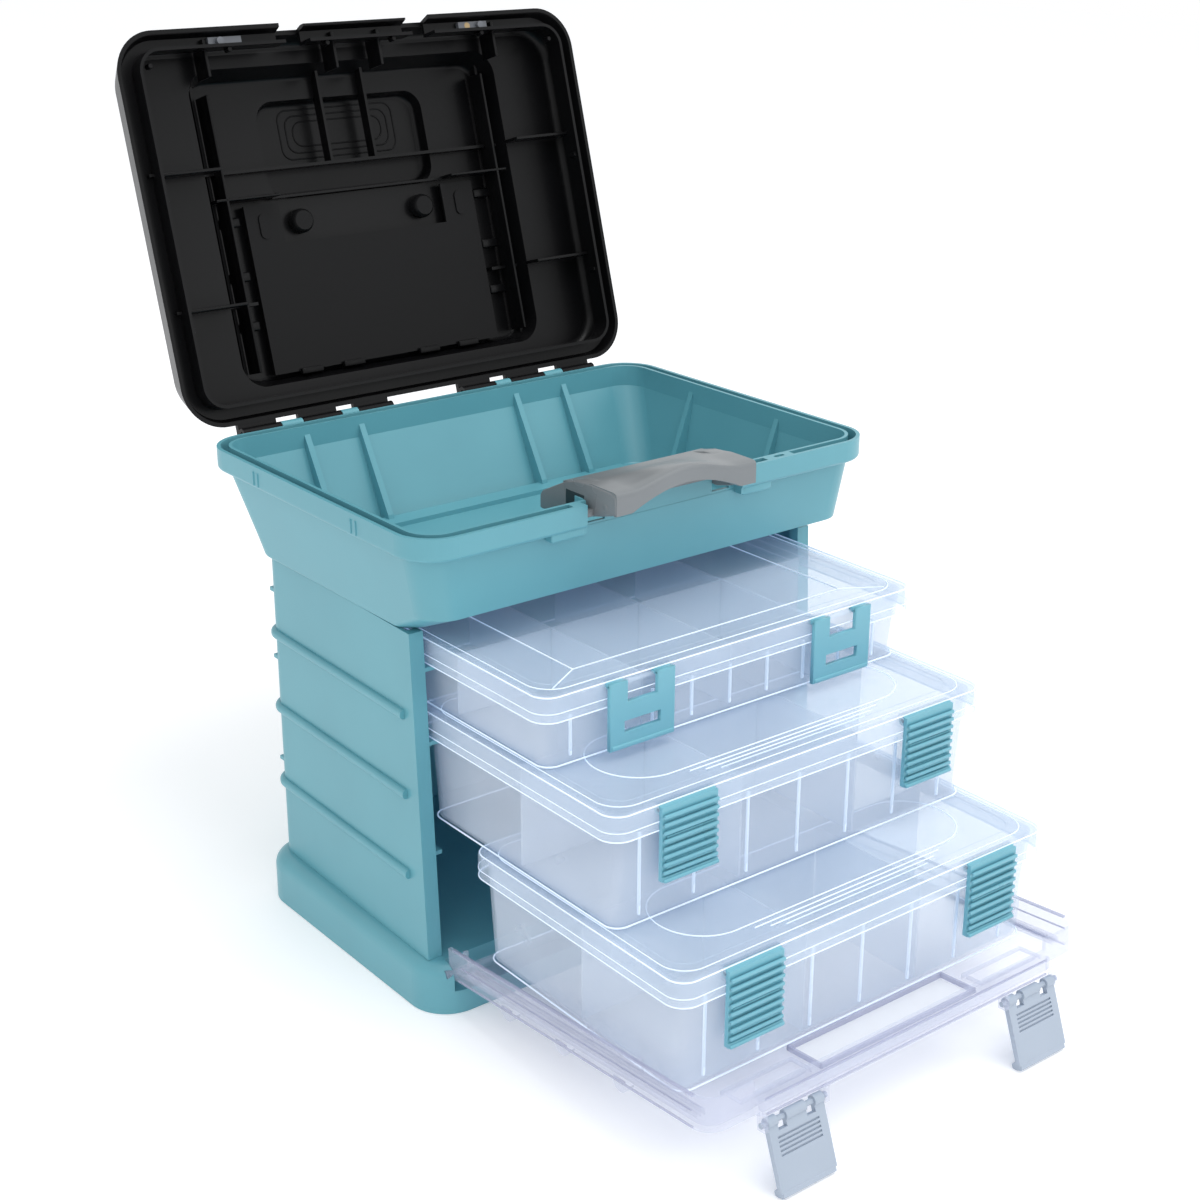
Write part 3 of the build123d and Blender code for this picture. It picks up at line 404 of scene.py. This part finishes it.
# Raised frame on the door's floor, between the latch trays, and low rails beside it
for name, low, high in (
    ("door_frame_front", (-60, -222, -1.6), (60, -220.4, 1.6)),
    ("door_frame_back", (-60, -197, -1.6), (60, -195.4, 1.6)),
    ("door_frame_left", (-60, -222, -1.6), (-58.4, -195.4, 1.6)),
    ("door_frame_right", (58.4, -222, -1.6), (60, -195.4, 1.6)),
    ("door_lip_left", (-143.9, -216, 14.0), (-141.7, -2, 15.4)),
    ("door_lip_right", (141.7, -216, 14.0), (143.9, -2, 15.4)),
    ("door_lip_front", (-108, -231.9, 4.0), (108, -230.6, 5.2)),
    ("door_foot_front", (-108, -232.4, -4.0), (108, -231.4, -2.8)),
    ("door_foot_left", (-144.0, -216, -4.0), (-142.8, -6, -2.9)),
    ("door_foot_right", (142.8, -216, -4.0), (144.0, -6, -2.9)),
    ("door_rail_left", (-134.6, -212, 1.6), (-133.8, -12, 2.6)),
    ("door_rail_right", (133.8, -212, 1.6), (134.6, -12, 2.6)),
    ("door_rib_left", (-144.2, -216, 6.0), (-143.7, -10, 7.0)),
    ("door_rib_right", (143.7, -216, 6.0), (144.2, -10, 7.0)),
):
    bar(name, low, high, 0.4, door_edge, "door", door_place)
# Pale label field inside the frame
bar("door_label_field", (-57, -219.5, -1.4), (57, -198, -0.9), 0.2,
    door_white, "door", door_place)
# Short stiffeners above each half-round foot
for name, side in SIDES:
    x0, x1 = sorted((side * 143.9, side * 144.4))
    for k, y in enumerate((-55.5, -106.5, -157.5)):
        bar(f"door_gusset_{k}_{name}", (x0, y - 5, -2.0), (x1, y + 5, -0.8), 0.2,
            door_edge, "door", door_place)


# Door latches: pale blue-grey mouldings that hang from the door's front edge.
# Each has grip grooves near its pin and a bent toe that hooks the rim.
pale = moulded_plastic("latch_pale", (0.4, 0.46, 0.55), (0.365, 0.43, 0.515), 0.36, 0.07)
dress("door_latch_left", pale)
dress("door_latch_right", pale)


# Organizers: translucent frosted trays with snap lids, a fixed divider grid and two
# teal clips each. They slide on the rack's runners, and their lids carry raised outlines.
# The frosted trays, lids and dividers get a faint pale blue glow, painted light that brightens them.
frost = clear_plastic("organizer_frost", (0.82, 0.88, 0.96), 0.25, 0.28, 0.05, 0.1)
frost_lid = clear_plastic("organizer_lid_frost", (0.7, 0.81, 0.94), 0.27, 0.2, 0.05, 0.05)
frost_grid = clear_plastic("organizer_divider_frost", (0.86, 0.92, 1.0), 0.3, 0.3, 0.03, 0.1)
# Near-white beads with a stronger glow: a painted highlight on the raised lines, rolled edges and guide ribs
frost_line_highlight = clear_plastic("organizer_raised_line_painted_highlight", (0.97, 0.99, 1.0), 0.8, 0.2, 0.05, 0.25)
clip_teal = moulded_plastic("clip_teal", (0.18, 0.46, 0.56), (0.155, 0.42, 0.51), 0.28, 0.04)
# The y of each one's front, and the z of its underside and of its lid's top
organizers = {
    "lower": (-301.6, 42.6, 112.5),
    "middle": (-247.2, 113.1, 183.0),
    "top": (-188.0, 183.6, 228.1),
}
for level in organizers:
    dress(f"{level}_organizer_tray", frost)
    dress(f"{level}_organizer_lid", frost_lid)
    dress(f"{level}_organizer_dividers", frost_grid)
    dress(f"{level}_clip_left", clip_teal)
    dress(f"{level}_clip_right", clip_teal)


# The shallow organizer's clips: two loops over the lid's bar, an open gap between them
# and a slot in the lower half
for side in ("left", "right"):
    node = f"top_clip_{side}"
    low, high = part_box(node)
    width, height = (high[0] - low[0]) / MM, (high[2] - low[2]) / MM
    plate = bpy.data.curves.new(f"{node}_plate", "CURVE")
    plate.dimensions = "2D"
    plate.fill_mode = "BOTH"
    plate.extrude = 1.0 * MM
    plate.bevel_depth = 0.5 * MM
    plate.bevel_resolution = 3
    half = width / 2 - 0.5
    loop_width, gap_depth = 11, 13
    gap_half = half - loop_width
    crest, gap_foot = height - 0.5, height - gap_depth
    rim = ((-half, 0.5), (half, 0.5), (half, crest), (gap_half, crest), (gap_half, gap_foot),
           (-gap_half, gap_foot), (-gap_half, crest), (-half, crest))
    slot_half = half - 9
    slot_hole = ((-slot_half, 9), (slot_half, 9), (slot_half, 16.5), (-slot_half, 16.5))
    for points in (rim, slot_hole):
        outline = plate.splines.new("POLY")
        outline.points.add(len(points) - 1)
        for spot, (x, z) in zip(outline.points, points):
            spot.co = (x * MM, z * MM, 0, 1)
        outline.use_cyclic_u = True
    piece = bpy.data.objects.new(f"{node}_plate", plate)
    bpy.context.collection.objects.link(piece)
    plate.materials.append(clip_teal)
    plate_place = ((low[0] + high[0]) / 2, low[1] + 1.5 * MM, low[2])
    piece.matrix_world = Matrix.Translation(plate_place) @ Matrix.Rotation(radians(90), 4, "X")
    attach(piece, f"top_clip_{side[0]}")
    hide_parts(node)
    # Rolled loops over the top of the lid's edge
    x0, x1, face, foot, head = low[0] / MM, high[0] / MM, low[1] / MM, low[2] / MM, high[2] / MM
    for name, end in (("inner", -1), ("outer", 1)):
        middle = (low[0] + high[0]) / 2 / MM + end * (half - 5.5)
        bar(f"{node}_loop_{name}", (middle - 6, face + 0.2, head - 3.4), (middle + 6, face + 7.2, head - 0.2),
            1.2, clip_teal, f"top_clip_{side[0]}")
    bar(f"{node}_lip", (x0 + 1, face - 0.9, foot + 0.3), (x1 - 1, face + 1.2, foot + 3.2), 0.9,
        clip_teal, f"top_clip_{side[0]}")

# Ridges across the deep organizers' clips, above a flared foot
for level in ("lower", "middle"):
    for side in ("left", "right"):
        node = f"{level}_clip_{side}"
        low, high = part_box(node)
        x0, x1, face, foot, head = low[0] / MM, high[0] / MM, low[1] / MM, low[2] / MM, high[2] / MM
        for k in range(8):
            z = foot + 5.5 + (head - foot - 11) * k / 7
            bar(f"{node}_ridge_{k}", (x0 + 0.4, face - 0.7, z - 1.1), (x1 - 0.4, face + 0.9, z + 1.1),
                0.6, clip_teal, f"{level}_clip_{side[0]}")
        bar(f"{node}_foot", (x0, face - 1.3, foot + 0.1), (x1, face + 1.0, foot + 2.2), 0.7,
            clip_teal, f"{level}_clip_{side[0]}")

# Rolled edges as beads in the near-white glowing line material, a painted highlight: the lid's top edge, the
# skirt's foot and the tray's foot
for level, (front, base, top) in organizers.items():
    body = f"{level}_organizer"
    raised_line(f"{level}_lid_edge", loop_points(138.6, front + 1.1, front + 183.1, 11, top - 0.5),
                0.45, frost_line_highlight, body)
    raised_line(f"{level}_skirt_edge", loop_points(139.5, front + 0.2, front + 184.0, 12, top - 14.6),
                0.4, frost_line_highlight, body)
    raised_line(f"{level}_skirt_line", loop_points(139.6, front + 0.1, front + 184.1, 12, top - 9.5),
                0.3, frost_line_highlight, body)
    raised_line(f"{level}_tray_foot", loop_points(133.2, front + 6.5, front + 177.7, 9, base + 0.9),
                0.5, frost_line_highlight, body)
    raised_line(f"{level}_lid_bead", loop_points(133, front + 8, front + 176, 16, top - 0.1),
                0.35, frost_line_highlight, body)

# The deep organizers' lids have a long oval, with three parallel beads in front of it
for level in ("lower", "middle"):
    body = f"{level}_organizer"
    front, base, top = organizers[level]
    raised_line(f"{level}_lid_oval", loop_points(108, front + 26, front + 84, 28.9, top - 0.6, 14),
                0.4, frost_line_highlight, body)
    for k in range(3):
        y = front + 14.5 + 3.6 * k
        half = 54 + 8 * k
        raised_line(f"{level}_lid_stripe_{k}", [(-half, y, top - 0.5), (half, y, top - 0.5)],
                    0.4, frost_line_highlight, body, False)

# The shallow organizer's lid has a raised field with hipped creases running to the corners
front, base, top = organizers["top"]
field_half, field_front, field_back, crease = 100, front + 26, front + 150, top - 0.4
raised_line("top_lid_crease", [(-field_half, field_back, crease), (-field_half, field_front, crease),
                               (field_half, field_front, crease), (field_half, field_back, crease)],
            0.45, frost_line_highlight, "top_organizer", False)
for name, side in SIDES:
    raised_line(f"top_lid_hip_{name}",
                [(side * field_half, field_front, crease), (side * 124, front + 12, crease)],
                0.4, frost_line_highlight, "top_organizer", False)

# Upright guide ribs on the trays' walls, where dividers can be slid in
for level, height, count in (("lower", 52.0, 7), ("middle", 52.0, 7), ("top", 27.0, 9)):
    front, base, top = organizers[level]
    for k in range(count):
        x = -114 + 228 * k / (count - 1)
        bar(f"{level}_guide_{k}", (x - 0.8, front + 9.2, base + 3), (x + 0.8, front + 10.6, base + height),
            0.3, frost_line_highlight, f"{level}_organizer")


# Table: a sheet of white paper under the rack, lit softly from all round by a bright
# room and four square lamps. The camera stands where the photograph was taken from.
floor_mesh = bpy.data.meshes.new("table")
floor_form = bmesh.new()
table_top = -0.0003
for x, y in ((-6, -6), (6, -6), (6, 8), (-6, 8)):
    floor_form.verts.new((x, y, table_top))
floor_form.faces.new(floor_form.verts)
floor_form.to_mesh(floor_mesh)
floor_form.free()
table = bpy.data.objects.new("table", floor_mesh)
bpy.context.collection.objects.link(table)
paper = bpy.data.materials.new("white_paper")
paper.use_nodes = True
matt = paper.node_tree.nodes["Principled BSDF"]
matt.inputs["Base Color"].default_value = (0.93, 0.93, 0.94, 1)
matt.inputs["Roughness"].default_value = 0.9
matt.inputs["Emission Color"].default_value = (1, 1, 1, 1)
matt.inputs["Emission Strength"].default_value = 0.22
table.data.materials.append(paper)

scene = bpy.context.scene
world = bpy.data.worlds.new("studio")
scene.world = world
world.use_nodes = True
sky = world.node_tree
sky.nodes.clear()
seen = sky.nodes.new("ShaderNodeLightPath")
either = sky.nodes.new("ShaderNodeMath")
either.operation = "MAXIMUM"
fill = sky.nodes.new("ShaderNodeBackground")
fill.inputs["Color"].default_value = (0.97, 0.985, 1.0, 1)
fill.inputs["Strength"].default_value = 0.85
white = sky.nodes.new("ShaderNodeBackground")
white.inputs["Color"].default_value = (1, 1, 1, 1)
white.inputs["Strength"].default_value = 1.0
choose = sky.nodes.new("ShaderNodeMixShader")
out = sky.nodes.new("ShaderNodeOutputWorld")
sky.links.new(seen.outputs["Is Camera Ray"], either.inputs[0])
sky.links.new(seen.outputs["Is Transmission Ray"], either.inputs[1])
sky.links.new(either.outputs[0], choose.inputs["Fac"])
sky.links.new(fill.outputs[0], choose.inputs[1])
sky.links.new(white.outputs[0], choose.inputs[2])
sky.links.new(choose.outputs[0], out.inputs["Surface"])


def soft_lamp(name, place, aim_height, size, power):
    """A square lamp that points at the rack's middle, at a height in metres."""
    lamp = bpy.data.lights.new(name, "AREA")
    lamp.size = size
    lamp.energy = power
    obj = bpy.data.objects.new(name, lamp)
    obj.location = place
    obj.rotation_euler = (Vector((0, 0, aim_height)) - Vector(place)).to_track_quat("-Z", "Y").to_euler()
    bpy.context.collection.objects.link(obj)


soft_lamp("key", (-1.6, -1.9, 2.4), 0.2, 1.6, 8)
soft_lamp("top", (0.15, -0.75, 2.7), 0.2, 1.3, 24)
soft_lamp("side", (2.2, -1.0, 1.6), 0.2, 1.4, 5)
soft_lamp("front", (0.95, -1.75, 1.05), 0.3, 0.7, 2.5)

lens = bpy.data.cameras.new("photo_camera")
lens.sensor_width = 36.0
lens.lens = 58.98
lens.clip_start = 0.05
lens.clip_end = 60
camera = bpy.data.objects.new("photo_camera", lens)
turn, tip, roll = radians(-38.2), radians(21.1), radians(0.2)
right = Vector((cos(turn), sin(turn), 0))
back = Vector((sin(turn) * cos(tip), -cos(turn) * cos(tip), sin(tip)))
up = back.cross(right)
level_x = cos(roll) * right + sin(roll) * up
level_y = -sin(roll) * right + cos(roll) * up
stand = Vector((-0.6920, -0.9379, 0.6443))
camera.matrix_world = Matrix((
    (level_x.x, level_y.x, back.x, stand.x),
    (level_x.y, level_y.y, back.y, stand.y),
    (level_x.z, level_y.z, back.z, stand.z),
    (0, 0, 0, 1),
))
bpy.context.collection.objects.link(camera)
scene.camera = camera
scene.view_settings.view_transform = "Standard"
